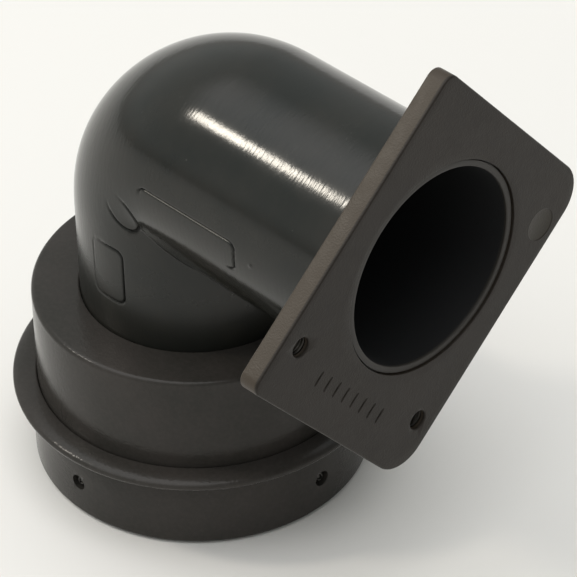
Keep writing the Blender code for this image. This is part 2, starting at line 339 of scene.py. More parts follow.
def bent_tube(radius, foot, end, mitre, sizes, around, leg_rows, bend_rows, tube_rows, marked):
    """The wall of the bent tube, as rings from the leg's foot to the tube's end.

    A line along the wall lies at an offset from the centreline, radius * cos(t), and at a side,
    radius * sin(t). Its bend's radius grows evenly with the offset, from mitre at the crease to
    bend_out on the outermost line. The line runs up the leg, turns through a quarter circle of that
    radius, and runs along the tube. Rows are shares of each of the three stretches.
    """
    offset, side = radius * np.cos(around), radius * np.sin(around)
    growth = (offset - sizes.mitre_from / MM) / (sizes.radius / MM - sizes.mitre_from / MM)
    bend = mitre + (sizes.bend_out / MM - mitre) * np.maximum(growth, 0)
    centre = bend - offset
    leg_z = foot + leg_rows[:, None] * (-centre - foot)
    leg = np.stack([-offset + 0 * leg_z, side + 0 * leg_z, leg_z], -1)
    turn = bend_rows[:, None] * tau / 4
    arc_part = np.stack([centre - bend * np.cos(turn), side + 0 * turn,
                         bend * np.sin(turn) - centre], -1)
    tube_x = centre + tube_rows[:, None] * (end - centre)
    tube = np.stack([tube_x, side + 0 * tube_x, offset + 0 * tube_x], -1)
    points = np.concatenate([leg, arc_part, tube])
    turn = np.concatenate([np.zeros(len(leg_rows)), turn[:, 0],
                           np.full(len(tube_rows), tau / 4)])[:, None]
    outward = np.stack([-np.cos(around) * np.cos(turn), np.sin(around) + 0 * turn,
                        np.cos(around) * np.sin(turn)], -1)
    cut = 0 * points[..., 0]
    if marked:
        near = np.where(points[..., 1] < -0.6 * radius, 1.0, 0.0)
        cut = near * engraving(points[..., 0], points[..., 2],
                               sizes.groove / MM, sizes.groove_width / MM)
    return points - outward * cut[..., None], cut


NOSE_OUTER, NOSE_INNER = 0.15, 0.35                  # rounding of the nose's two edges


def nose_rings(sizes, around):
    """The nose at the tube's end: full circles of (radius, distance), both of its edges rounded."""
    end, nose, bore = sizes.end / MM, sizes.nose / MM, (sizes.radius - sizes.wall) / MM
    outer, inner = NOSE_OUTER, NOSE_INNER
    profile = outline((nose, end - sizes.nose_length / MM),
                      arc(nose - outer, end - outer, outer, 0, 90, 4),
                      arc(bore + inner, end - inner, inner, 90, 180, 5))
    r, x = profile[:, :1], profile[:, 1:]
    return np.stack([x + 0 * around, r * np.sin(around), r * np.cos(around)], -1)


def plate_frame(sizes):
    """The plate's frame, in millimetres: X and Y in its face, Z out of it, zero on the bore."""
    c, s = cos(sizes.turn), sin(sizes.turn)
    return Matrix(((0, 0, 1, sizes.face / MM), (c, s, 0, 0), (-s, c, 0, 0), (0, 0, 0, 1)))


def plate_edge(sizes, per_side=24, per_corner=16):
    """Points and outward normals round the plate's rounded rectangle, counter-clockwise."""
    left, right = -sizes.left / MM, sizes.right / MM
    low, high = -sizes.low / MM, sizes.high / MM
    r_left, r_right = sizes.corner_left / MM, sizes.corner_right / MM
    centres = ((right - r_right, low + r_right, r_right, -90),
               (right - r_right, high - r_right, r_right, 0),
               (left + r_left, high - r_left, r_left, 90),
               (left + r_left, low + r_left, r_left, 180))
    points, normals = [], []
    for k, (cx, cy, r, start) in enumerate(centres):
        turn = np.radians(np.linspace(start, start + 90, per_corner + 1))
        normal = np.stack([np.cos(turn), np.sin(turn)], 1)
        corner = np.array([cx, cy]) + r * normal
        nx, ny, nr, nstart = centres[(k + 1) % 4]
        first_next = np.array([nx + nr * cos(radians(nstart)), ny + nr * sin(radians(nstart))])
        steps = np.linspace(0, 1, per_side + 2)[1:-1, None]
        points += [corner, corner[-1] + steps * (first_next - corner[-1])]
        normals += [normal, np.repeat(normal[-1:], per_side, axis=0)]
    points, normals = np.concatenate(points), np.concatenate(normals)
    return points - normals * INSIDE_CAD, normals


def plate_surface(sizes):
    """The plate as rings round its bore: each ring is a circle, the outline drawn in along its
    normals, or an even blend from one to the other, at one height."""
    edge, normal = plate_edge(sizes)
    along = edge / np.linalg.norm(edge, axis=1, keepdims=True)
    r, t = sizes.edge / MM, sizes.thickness / MM
    mouth, lip, seat = sizes.mouth / MM, sizes.lip / MM, sizes.seat / MM
    soft = 0.15

    def ring(flat, z):
        return np.column_stack([flat, np.full(len(flat), z)])

    rings = [ring(along * seat, -lip), ring(along * mouth, -lip)]
    rings += [ring(along * pr, pz) for pr, pz in arc(mouth + soft, -soft, soft, 180, 90, 4)]
    inner, outer = along * (mouth + soft), edge - normal * r
    rings += [ring(inner + (outer - inner) * step, 0.0) for step in np.linspace(0, 1, 9)[1:]]
    for a in np.radians(np.linspace(90, 0, 6))[1:]:
        rings.append(ring(edge - normal * r * (1 - cos(a)), -r * (1 - sin(a))))
    for a in np.radians(np.linspace(0, -90, 6)):
        rings.append(ring(edge - normal * r * (1 - cos(a)), -t + r * (1 + sin(a))))
    inner = along * (seat + soft)
    rings += [ring(outer + (inner - outer) * step, -t) for step in np.linspace(0, 1, 7)[1:]]
    rings.append(ring(along * seat, -t + soft))
    points = np.array(rings)
    return points.reshape(-1, 3), grid_quads(*points.shape[:2])


def plate_cutter(name, profile, sizes, place, sides=64):
    """A turned cutter whose axis stands square to the plate's face at place."""
    points, quads = lathe(profile, sides)
    return new_object(name, placed(points + (*place, 0), plate_frame(sizes)), quads)


def bar_cutters(sizes, places, width_mm, height_mm, depth):
    """Shallow stadium-shaped troughs in the plate's face: each is a grid of (around, inwards) whose
    outline is a capsule and whose floor sinks as the root of a circle."""
    turn = np.linspace(0, tau, 48, endpoint=False)
    half, run = width_mm / 2, (height_mm - width_mm) / 2
    shrink = np.array([1.25, 1.0, 0.85, 0.6, 0.3, 0.0])
    sink = np.array([0.3, 0.0, -0.6, -0.85, -1.0, -1.0]) * depth
    flat = np.stack([half * np.cos(turn), half * np.sin(turn)], 1)[None] * shrink[:, None, None]
    flat[..., 1] += run * np.sign(np.sin(turn + 1e-6))[None]    # off 0, where the sign is 0
    rings = np.concatenate([flat, np.broadcast_to(sink[:, None, None], (*flat.shape[:2], 1))], -1)
    lid = rings[:1] * (0, 0, 1)
    rows = np.concatenate([lid, rings])
    quads = grid_quads(*rows.shape[:2])
    cutters = []
    for i, place in enumerate(places, 1):
        points = rows.reshape(-1, 3) + (*place, 0)
        cutters.append(new_object(f"bar_{i}", placed(points, plate_frame(sizes)), quads))
    return cutters


def radial_frame(i, count, z):
    """Local frame of the i-th screw round the leg's axis: its Z points outwards at height z."""
    return Matrix.Rotation(tau * i / count, 4, "Z") @ Matrix.Translation((0, 0, z)) \
        @ Matrix.Rotation(tau / 4, 4, "Y")


SLOT_SIDE, SLOT_END, SLOT_DEPTH = (0.16, 0.32), (0.55, 1.0), 0.55
DOME_SHARE = 0.87                                    # of the head's radius, where its rim begins


def cross_head(radius, top, seat, shank, point, rings=44, sides=96):
    """A round-headed screw: a dome with a cross recess, above a shank.

    The dome is top - radius + sqrt(radius squared - r squared). The recess takes away depth times
    the larger of two soft-edged slots at right angles, fading towards the slots' ends.
    """
    turn = np.linspace(0, tau, sides, endpoint=False)
    head = np.linspace(0, DOME_SHARE * radius, rings)
    r = np.concatenate([head, [radius, radius, shank, shank, shank - 0.5, 0.0]])[:, None]
    dome = top - radius + np.sqrt(np.maximum(radius ** 2 - head ** 2, 0))
    z = np.concatenate([dome, [dome[-1] - 0.1, seat, seat, point + 0.5, point, point]])[:, None]
    x, y = r * np.cos(turn), r * np.sin(turn)

    def slot(a, b):
        return (1 - smooth_step(np.abs(a), *SLOT_SIDE)) * (1 - smooth_step(np.abs(b), *SLOT_END))

    recess = np.maximum(slot(x, y), slot(y, x)) * SLOT_DEPTH
    recess[rings:] = 0
    points = np.stack([x, y, z - recess], -1)
    return points.reshape(-1, 3), grid_quads(len(r), sides, close_rows=False)


# ---------------------------------------------------------------- materials

class Nodes:
    """The node tree of a material, or of a world, built one node at a time."""

    def __init__(self, name, world=None):
        self.material = world or bpy.data.materials.new(name)
        self.material.use_nodes = True
        self.tree = self.material.node_tree
        self.shader = self.tree.nodes.get("Principled BSDF")
        coordinates = self.add("ShaderNodeTexCoord")
        self.place, self.ray = coordinates.outputs["Object"], coordinates.outputs["Generated"]

    def add(self, kind, inputs=None, **settings):
        node = self.tree.nodes.new(kind)
        for key, value in settings.items():
            setattr(node, key, value)
        self.wire(node, inputs or {})
        return node

    def wire(self, node, inputs):
        for key, value in inputs.items():
            if isinstance(value, bpy.types.NodeSocket):
                self.tree.links.new(value, node.inputs[key])
            else:
                node.inputs[key].default_value = value

    def stretched(self, scale):
        return self.add("ShaderNodeMapping", {"Vector": self.place, "Scale": scale}).outputs[0]

    def noise(self, scale, detail=3.0, roughness=0.5, vector=None):
        return self.add("ShaderNodeTexNoise", {
            "Vector": vector or self.place, "Scale": scale, "Detail": detail,
            "Roughness": roughness}).outputs["Fac"]

    def ramp(self, value, low, high, to_low, to_high, smooth=False):
        return self.add("ShaderNodeMapRange", {
            "Value": value, "From Min": low, "From Max": high, "To Min": to_low, "To Max": to_high},
            interpolation_type="SMOOTHSTEP" if smooth else "LINEAR").outputs["Result"]

    def math(self, operation, a, b=0.0):
        return self.add("ShaderNodeMath", {0: a, 1: b}, operation=operation).outputs[0]

    def blend(self, value, first, second):
        mix = self.add("ShaderNodeMix", {0: value}, data_type="RGBA")
        for slot, item in ((6, first), (7, second)):
            if isinstance(item, bpy.types.NodeSocket):
                self.tree.links.new(item, mix.inputs[slot])
            else:
                mix.inputs[slot].default_value = (*item, 1.0)
        return mix.outputs[2]

    def bump(self, value, distance, strength=1.0, under=None):
        inputs = {"Height": value, "Distance": distance, "Strength": strength}
        if under:
            inputs["Normal"] = under
        return self.add("ShaderNodeBump", inputs).outputs["Normal"]

    def share(self, name):
        return self.add("ShaderNodeAttribute", attribute_name=name).outputs["Fac"]

    def near(self, centre, radius, soft):
        """1 inside a ball about a point in the CAD's frame, 0 outside it."""
        far = self.add("ShaderNodeVectorMath", {0: self.place, 1: tuple(centre)},
                       operation="DISTANCE")
        return self.ramp(far.outputs["Value"], radius - soft, radius + soft, 1.0, 0.0, True)

    def finish(self, **inputs):
        self.wire(self.shader, {key.replace("_", " "): value for key, value in inputs.items()})
        return self.material


def tinted(colour_value, factor, shift=(1.0, 1.0, 1.0)):
    return tuple(c * factor * s for c, s in zip(colour_value, shift))


END_FACE = (0.022, 0.019, 0.016)
DUST = (0.16, 0.155, 0.14)
# painted shade: near-black colour standing in for the shade in the engraved grooves
GROOVE_PAINTED_SHADE = (0.003, 0.003, 0.003)
LEG_DULL = (ZERO.z - 38 * MM, ZERO.z - 12 * MM)      # the leg's gloss falls off below the bend
SIDES_PAINTED_LIGHT = (-1.0 * MM, -0.4 * MM)                  # painted light, the plate's sides made paler: along X, from the plate's front face
DISC_SOFT = 0.4 * MM                                 # how softly the plug's disc ends


def gloss_tube_plastic(base):
    """Moulded gloss plastic: a faint greenish bloom, ripples square to the flow, fine pitting,
    hairline scratches and dust; painted shade darkens the bore and the engraved grooves."""
    n = Nodes("gloss_tube_plastic")
    cloud = n.noise(38, 4, 0.6)
    body = n.blend(n.ramp(cloud, 0.35, 0.68, 0, 1), tinted(base, 0.75, (0.95, 1.05, 1.0)),
                   tinted(base, 1.35, (1.1, 1.0, 0.92)))
    specks = n.add("ShaderNodeTexVoronoi", {"Vector": n.place, "Scale": 420.0})
    dust = n.math("MULTIPLY", n.ramp(specks.outputs["Distance"], 0.03, 0.10, 1, 0),
                  n.ramp(n.noise(90, 2), 0.60, 0.66, 0, 1))
    scratch_field = n.noise(1.0, 2, 0.5, n.stretched((900, 140, 420)))
    scratch = n.ramp(n.math("ABSOLUTE", n.math("SUBTRACT", scratch_field, 0.5)), 0.0, 0.004, 1, 0)
    scratch = n.math("MULTIPLY", scratch, n.ramp(n.noise(55, 2), 0.56, 0.64, 0, 1))
    marks = n.math("MAXIMUM", dust, n.math("MULTIPLY", scratch, 0.5))
    body = n.blend(n.math("MULTIPLY", marks, 0.35), body, DUST)
    groove, inside, end_face = n.share("groove"), n.share("inside"), n.share("end_face")
    # painted shade: the bore's wall is painted darker and bluish, as the shade inside the tube
    body = n.blend(inside, body, tinted(base, 0.55, (0.95, 0.95, 1.15)))
    body = n.blend(end_face, body, END_FACE)
    # painted shade: the engraved grooves are painted near-black, standing in for the shade in them
    body = n.blend(n.math("MULTIPLY", groove, 0.75), body, GROOVE_PAINTED_SHADE)
    rough = n.ramp(n.noise(60, 5, 0.65), 0.3, 0.7, 0.10, 0.17)
    rough = n.math("ADD", rough, n.math("MULTIPLY", marks, 0.25))
    cut_or_end = n.math("MAXIMUM", groove, end_face)
    rough = n.math("ADD", rough, n.math("MULTIPLY", cut_or_end, 0.30))
    rough = n.math("ADD", rough, n.math("MULTIPLY", inside, 0.55))
    level = n.add("ShaderNodeSeparateXYZ", {0: n.place}).outputs["Z"]
    rough = n.math("ADD", rough, n.ramp(level, *LEG_DULL, 0.17, 0.0, True))
    ripple = n.noise(1.0, 2, 0.5, n.stretched((1300, 300, 300)))
    pitting = n.noise(1900, 2, 0.5)
    normal = n.bump(pitting, 0.00002, 0.25, n.bump(ripple, 0.00006, 0.48))
    # painted shade: in the grooves a metal share under the near-black colour also takes away their
    # reflection
    return n.finish(Base_Color=body, Roughness=rough, Metallic=n.math("MULTIPLY", groove, 0.85),
                    Normal=normal, IOR=1.38)


def grained_plate_plastic(base, disc_centre, disc_radius):
    """Matt plastic with a fine spark-eroded grain, blotchy in tone, sides painted paler as painted
    light where the lamps light them, and a paler disc where the sprue's plug was."""
    n = Nodes("grained_plate_plastic")
    cloud = n.noise(45, 4, 0.6)
    fine = n.noise(700, 3, 0.6)
    body = n.blend(n.ramp(cloud, 0.35, 0.68, 0, 1), tinted(base, 0.86), tinted(base, 1.14))
    body = n.blend(n.ramp(fine, 0.35, 0.7, 0, 0.35), body, tinted(base, 1.5))
    disc = n.near(disc_centre, disc_radius, DISC_SOFT)
    body = n.blend(n.math("MULTIPLY", disc, 0.8), body, tinted(base, 2.0, (0.97, 1.05, 1.0)))
    along = n.add("ShaderNodeSeparateXYZ", {0: n.place}).outputs["X"]
    # painted light: behind the front face the sides are painted paler, standing in for the light
    # falling on them
    side = n.ramp(n.math("SUBTRACT", along, disc_centre[0]), *SIDES_PAINTED_LIGHT, 0.8, 0.0, True)
    body = n.blend(side, body, tinted(base, 3.5, (1.0, 1.0, 0.96)))
    rough = n.ramp(n.noise(300, 3), 0.3, 0.7, 0.34, 0.42)
    grain = n.add("ShaderNodeTexVoronoi", {"Vector": n.place, "Scale": 2400.0}).outputs["Distance"]
    normal = n.bump(grain, 0.00005, 0.6, n.bump(fine, 0.00005, 0.3))
    return n.finish(Base_Color=body, Roughness=rough, Normal=normal, IOR=1.28)


def satin_base_plastic(base):
    """Satin plastic: an even fine grain, a soft cloudy tone and a few rubbed places."""
    n = Nodes("satin_base_plastic")
    cloud = n.noise(40, 4, 0.6)
    fine = n.noise(900, 3, 0.6)
    body = n.blend(n.ramp(cloud, 0.35, 0.68, 0, 1), tinted(base, 0.85, (0.97, 1.03, 1.0)),
                   tinted(base, 1.18))
    body = n.blend(n.ramp(fine, 0.40, 0.75, 0, 0.3), body, tinted(base, 1.7))
    rough = n.ramp(n.noise(120, 4, 0.6), 0.3, 0.7, 0.13, 0.19)
    grain = n.add("ShaderNodeTexVoronoi", {"Vector": n.place, "Scale": 1700.0}).outputs["Distance"]
    normal = n.bump(grain, 0.00006, 0.45, n.bump(fine, 0.00010, 0.35))
    return n.finish(Base_Color=body, Roughness=rough, Normal=normal, IOR=1.28)


def seal_rubber(base):
    """Dull rubber, cloudy in tone, with a fine pebbled skin."""
    n = Nodes("soft_seal_rubber")
    cloud = n.noise(90, 4, 0.6)
    body = n.blend(cloud, tinted(base, 0.7), tinted(base, 1.6))
    rough = n.ramp(n.noise(400, 3), 0.3, 0.7, 0.6, 0.8)
    return n.finish(Base_Color=body, Roughness=rough,
                    Normal=n.bump(n.noise(1500, 3), 0.00008, 0.5))


def blackened_steel(base):
    """Blackened screw steel with rubbed, browner places."""
    n = Nodes("blackened_steel")
    body = n.blend(n.noise(500, 4, 0.7), tinted(base, 0.6), tinted(base, 1.8, (1.05, 1.0, 0.92)))
    rough = n.ramp(n.noise(900, 3), 0.3, 0.7, 0.22, 0.42)
    return n.finish(Base_Color=body, Roughness=rough, Metallic=1.0,
                    Normal=n.bump(n.noise(1600, 2), 0.00003, 0.5))


def bright_steel(base):
    """Turned steel, marked round its axis; its colour is painted dark, as the shade in the screw
    holes.
    """
    n = Nodes("bright_steel")
    turned_marks = n.noise(1.0, 3, 0.6, n.stretched((6000, 300, 300)))
    body = n.blend(turned_marks, tinted(base, 0.8), tinted(base, 1.15))
    rough = n.ramp(turned_marks, 0.3, 0.7, 0.26, 0.42)
    return n.finish(Base_Color=body, Roughness=rough, Metallic=1.0,
                    Normal=n.bump(turned_marks, 0.00003, 0.6))


def material(name, build, *details):
    """The named material, built on its first use."""
    return bpy.data.materials.get(name) or build(*details)


def base_plastic(scene):
    return material("satin_base_plastic", satin_base_plastic, scene.duct_colours.base)


def rubber(scene):
    return material("soft_seal_rubber", seal_rubber, scene.duct_colours.rubber)


# ---------------------------------------------------------------- operators

class DUCT_OT_bent_tube(bpy.types.Operator):
    """Bent gloss tube with its crease, bore and engraved outlines"""
    bl_idname = "duct.bent_tube"
    bl_label = "Bent tube"

    ENGRAVED_BAND = 13.0           # half width of the band of finer lines on the engraved side
    LINE_STEP, FINE_STEP = 0.30, 0.11
    COARSE_LINES = 129
    LAST_ROW = 0.99                # the bore's last row, close behind its mouth

    def lines_around(self, radius):
        """Angles of the lines along the wall: finer on the engraved side, and finest where the
        outlines of the tag and the panel run along them."""
        tag, panel = TAG[1][0], PANEL[1][1]
        offsets = clustered(-self.ENGRAVED_BAND, self.ENGRAVED_BAND, self.LINE_STEP,
                            (-tag, -panel, panel, tag), self.FINE_STEP)
        fine = tau - np.arccos(offsets / radius)
        coarse = np.linspace(fine[-1], fine[0] + tau, self.COARSE_LINES + 2)[1:-1]
        return np.concatenate([fine, coarse])

    def execute(self, context):
        sizes = context.scene.duct_tube
        radius, foot, end = sizes.radius / MM, sizes.foot / MM, sizes.end / MM
        around = self.lines_around(radius)

        def rows(*runs):
            return np.concatenate([np.linspace(low, high, count, endpoint=False)
                                   for low, high, count in runs])

        leg = rows((0, 0.46, 8), (0.46, 0.90, 66), (0.90, 1.0, 6))
        bend = rows((0, 1, 60))
        tube = np.append(rows((0, 0.50, 104), (0.50, 0.64, 24), (0.64, 1.0, 10)), 1.0)
        nose, shoulder = nose_rings(sizes, around), end - sizes.nose_length / MM
        outer, cut = bent_tube(radius, foot, shoulder, sizes.mitre / MM, sizes, around,
                               leg, bend, tube, True)
        plain = rows((0, 1, 8)), rows((0, 1, 24)), np.append(rows((0, 1, 8)), self.LAST_ROW)
        wall = sizes.wall / MM
        inner, _ = bent_tube(radius - wall, foot, end - NOSE_INNER, sizes.mitre / MM + wall, sizes,
                             around, *plain, False)
        points = np.concatenate([outer, nose, inner[::-1]])
        groove = np.zeros(points.shape[:2])
        groove[:len(cut)] = np.clip(cut / (sizes.groove / MM), 0, 1)
        # rows of the bore: rougher, and painted darker as shade in the material
        inside = np.zeros(points.shape[:2])
        inside[len(outer) + len(nose):] = 1.0
        end_face = np.zeros(points.shape[:2])
        end_face[len(outer):len(outer) + len(nose)] = 1.0
        obj = new_object("bent_tube", placed(points.reshape(-1, 3)), grid_quads(*points.shape[:2]),
                         groove=groove.ravel(), inside=inside.ravel(), end_face=end_face.ravel())
        plastic = material("gloss_tube_plastic", gloss_tube_plastic,
                           context.scene.duct_colours.tube)
        finished(obj, plastic, "tube_plastic", "elbow_shell")
        return {"FINISHED"}


class DUCT_OT_mounting_plate(bpy.types.Operator):
    """Mounting plate with its mouth, screw holes, sprue disc and row of plain bars"""
    bl_idname = "duct.mounting_plate"
    bl_label = "Mounting plate"

    DISC = (28.8, 22.1)
    DISC_RADIUS, DISC_SUNK = 4.0, 0.16
    HOLE_SOFT = 0.35
    BARS, FIRST_BAR, BAR_STEP = 8, (-15.8, -34.0), 4.15
    BAR = (0.75, 4.0, 0.15)        # width, height, depth

    def execute(self, context):
        sizes = context.scene.duct_plate
        points, quads = plate_surface(sizes)
        obj = new_object("mounting_plate", placed(points, plate_frame(sizes)), quads)
        r, seat, lip = sizes.hole / MM, sizes.hole_seat / MM, sizes.lip / MM
        back, soft = -sizes.thickness / MM - PAST, self.HOLE_SOFT
        hole = outline((0, 2), (r + 2 * soft, 2), (r + 1.3 * soft, 0.1),
                       arc(r + soft, -soft, soft, 110, 180), (r, -lip), (seat, -lip),
                       (seat, back), (0, back))
        row = sizes.hole_row / MM
        cutters = [plate_cutter(f"hole_{i}", hole, sizes, (x / MM, row))
                   for i, x in enumerate((sizes.hole_left, sizes.hole_right))]
        d, sunk = self.DISC_RADIUS, self.DISC_SUNK
        dish = outline((0, 0.5), (d + 0.3, 0.5), (d + 0.15, 0.03), (d, -0.6 * sunk),
                       (d - 0.25, -sunk), (0, -sunk))
        cutters.append(plate_cutter("dish", dish, sizes, self.DISC))
        x, y = self.FIRST_BAR
        places = [(x + self.BAR_STEP * i, y) for i in range(self.BARS)]
        cutters += bar_cutters(sizes, places, *self.BAR)
        carve(obj, cutters)
        centre = placed(np.array([[*self.DISC, 0.0]]), plate_frame(sizes))[0]
        plastic = material("grained_plate_plastic", grained_plate_plastic,
                           context.scene.duct_colours.plate, centre, self.DISC_RADIUS * MM)
        finished(obj, plastic, "plate_plastic", "flange_plate")
        return {"FINISHED"}


class DUCT_OT_plate_sleeves(bpy.types.Operator):
    """Two bright steel sleeves behind the plate's screw holes"""
    bl_idname = "duct.plate_sleeves"
    bl_label = "Plate sleeves"

    TOP, BORE, OUTSIDE, SOFT = -1.5, 2.3, 2.9, 0.15
    TURNS, THREAD_DEPTH = 5, 0.16

    def execute(self, context):
        sizes = context.scene.duct_plate
        bore, out, soft = self.BORE, self.OUTSIDE, self.SOFT
        high, low = self.TOP - soft, -sizes.thickness / MM + soft
        thread = np.linspace(low, high, 4 * self.TURNS + 1)
        wave = 0.5 - 0.5 * np.cos(np.linspace(0, self.TURNS * tau, len(thread)))
        profile = outline(
            arc(bore + soft, high, soft, 120, 90, 2), arc(out - soft, high, soft, 90, 0, 4),
            arc(out - soft, low, soft, 0, -90, 4), arc(bore + soft, low, soft, 270, 240, 2),
            np.column_stack([bore + self.THREAD_DEPTH * wave, thread]))
        steel = material("bright_steel", bright_steel, context.scene.duct_colours.sleeve)
        for i, x in enumerate((sizes.hole_left, sizes.hole_right), 1):
            points, quads = lathe(profile, 64)
            points = placed(points + (x / MM, sizes.hole_row / MM, 0), plate_frame(sizes))
            finished(new_object(f"plate_sleeve_{i}", points, quads), steel, "sleeve_steel",
                     f"flange_sleeve_{i}")
        return {"FINISHED"}


class DUCT_OT_step_cup(bpy.types.Operator):
    """Cup that widens the leg to the base, with its socket and skirt"""
    bl_idname = "duct.step_cup"
    bl_label = "Step cup"

    NECK, NECK_SOFT = 28.06, 0.55
    WALL, SOCKET = 3.0, 31.3                         # thickness, and the socket's outside radius
    SHOULDER, CONE_FOOT, CONE_TOP = -73.9, -70.9, -67.9
    LEDGE, LEDGE_FOOT = -62.1, -65.1                 # what the leg's seal rests on
    FOOT_SOFT = 0.4
    SCREW_HOLE = 1.4

    def execute(self, context):
        sizes = context.scene.duct_base
        top, r, edge = sizes.cup_top / MM, sizes.cup / MM, sizes.cup_edge / MM
        skirt, bore = sizes.skirt / MM, sizes.skirt_bore / MM
        bottom = height("reducing_cup", 0) / MM
        tube = (TUBE_RADIUS - context.scene.duct_tube.wall) / MM
        neck, soft, foot = self.NECK, self.NECK_SOFT, self.FOOT_SOFT
        inside, under = r - self.WALL, top - self.WALL
        profile = outline(
            arc(neck + soft, top - soft, soft, 180, 90), arc(r - edge, top - edge, edge, 90, 0, 10),
            (r, self.SHOULDER), (skirt, self.SHOULDER),
            arc(skirt - foot, bottom + foot, foot, 0, -90, 4),
            arc(bore + foot, bottom + foot, foot, 270, 180, 4), (bore, self.CONE_FOOT),
            (inside, self.CONE_TOP), (inside, under), (self.SOCKET, under),
            (self.SOCKET, self.LEDGE_FOOT), (tube, self.LEDGE_FOOT), (tube, self.LEDGE),
            (neck, self.LEDGE))
        points, quads = lathe(profile, 224)
        obj = new_object("step_cup", placed(points), quads)
        carve(obj, [radial_rod(f"skirt_hole_{i}", self.SCREW_HOLE, bore - PAST, skirt + PAST, 0.0,
                               i, sizes) for i in range(SCREWS)])
        finished(obj, base_plastic(context.scene), "base_plastic", "reducing_cup")
        return {"FINISHED"}


def radial_rod(name, radius, low, high, flare, i, sizes, face=None):
    """A turned cutter square to the leg's axis, flared where it leaves the face if one is given."""
    if face is None:
        profile = outline((0, high), (radius, high), (radius, low), (0, low))
    else:
        profile = outline((0, high), (radius + 2 * flare, high), (radius + 1.2 * flare, face + 0.1),
                          arc(radius + flare, face - flare, flare, 110, 180),
                          (radius, low), (0, low))
    points, quads = lathe(profile, 48)
    return new_object(name, placed(points, radial_frame(i, SCREWS, sizes.screw_row / MM)), quads)


class DUCT_OT_collar_ring(bpy.types.Operator):
    """Collar with a round nose, round the cup's foot"""
    bl_idname = "duct.collar_ring"
    bl_label = "Collar ring"

    GAP, SOFT, SHOULDER = 0.06, 0.5, 3.6             # round the cup; inner edge; crown's width

    def execute(self, context):
        sizes = context.scene.duct_base
        top, bottom = height("rim_collar", 1) / MM, height("rim_collar", 0) / MM
        bore, r, soft = sizes.cup / MM + self.GAP, sizes.collar / MM, self.SOFT
        nose, middle_z = (top - bottom) / 2, (top + bottom) / 2
        turn = np.radians(np.linspace(90, 0, 17))[1:]
        crown = np.column_stack([r - self.SHOULDER * (1 - np.cos(turn)),
                                 middle_z + nose * np.sin(turn)])
        profile = outline(arc(bore + soft, top - soft, soft, 180, 90), crown,
                          arc(r - nose, middle_z, nose, 0, -90, 10)[1:], (bore, bottom))
        points, quads = lathe(profile, 256)
        finished(new_object("collar_ring", placed(points), quads), base_plastic(context.scene),
                 "base_plastic", "rim_collar")
        return {"FINISHED"}


class DUCT_OT_spigot_sleeve(bpy.types.Operator):
    """Spigot ring with its chamfered foot and screw pockets"""
    bl_idname = "duct.spigot_sleeve"
    bl_label = "Spigot ring"

    GAP, POCKET, POCKET_SOFT = 0.3, 2.0, 0.2
    TOP_SOFT, CHAMFER_SOFT, FOOT_SOFT, LIP_SOFT = 0.4, 0.8, 0.4, 0.3
    SEAT = 1.7                                       # height of the seal's seat above the foot

    def execute(self, context):
        sizes = context.scene.duct_base
        top, foot, r = height("spigot_ring", 1) / MM, sizes.foot / MM, sizes.spigot / MM
        bore, lip = sizes.skirt / MM + self.GAP, sizes.skirt_bore / MM
        row, soft, turned = sizes.screw_row / MM, self.TOP_SOFT, self.CHAMFER_SOFT
        low, inner = self.FOOT_SOFT, self.LIP_SOFT
        profile = outline(
            (bore, top), arc(r - soft, top - soft, soft, 90, 0, 4), (r, row + 3.0), (r, row - 3.0),
            arc(r - turned, foot + 1.4, turned, 0, -45, 5),
            arc(r - 1.3, foot + low, low, -45, -90, 4),
            arc(lip + inner, foot + inner, inner, 270, 180, 4),
            (lip, foot + self.SEAT), (bore, foot + self.SEAT))
        points, quads = lathe(profile, 256)
        obj = new_object("spigot_sleeve", placed(points), quads)
        carve(obj, [radial_rod(f"pocket_{i}", self.POCKET, bore - PAST, r + PAST, self.POCKET_SOFT,
                               i, sizes, r) for i in range(SCREWS)])
        finished(obj, base_plastic(context.scene), "base_plastic", "spigot_ring")
        return {"FINISHED"}


class DUCT_OT_pinning_screws(bpy.types.Operator):
    """Four round-headed screws sunk in the spigot ring's pockets"""
    bl_idname = "duct.pinning_screws"
    bl_label = "Pinning screws"

    def execute(self, context):
        sizes = context.scene.duct_base
        top = (sizes.spigot - sizes.screw_sink) / MM
        seat, point = sizes.skirt / MM + DUCT_OT_spigot_sleeve.GAP, sizes.skirt_bore / MM + 0.4
        steel = material("blackened_steel", blackened_steel, context.scene.duct_colours.screw)
        for i in range(SCREWS):
            points, quads = cross_head(sizes.screw_head / MM, top, seat,
                                       sizes.screw_shank / MM, point)
            points = placed(points, radial_frame(i, SCREWS, sizes.screw_row / MM))
            obj = new_object(f"pinning_screw_{i + 1}", points, quads)
            finished(obj, steel, "screw_steel", f"spigot_screw_{i + 1}")
        return {"FINISHED"}


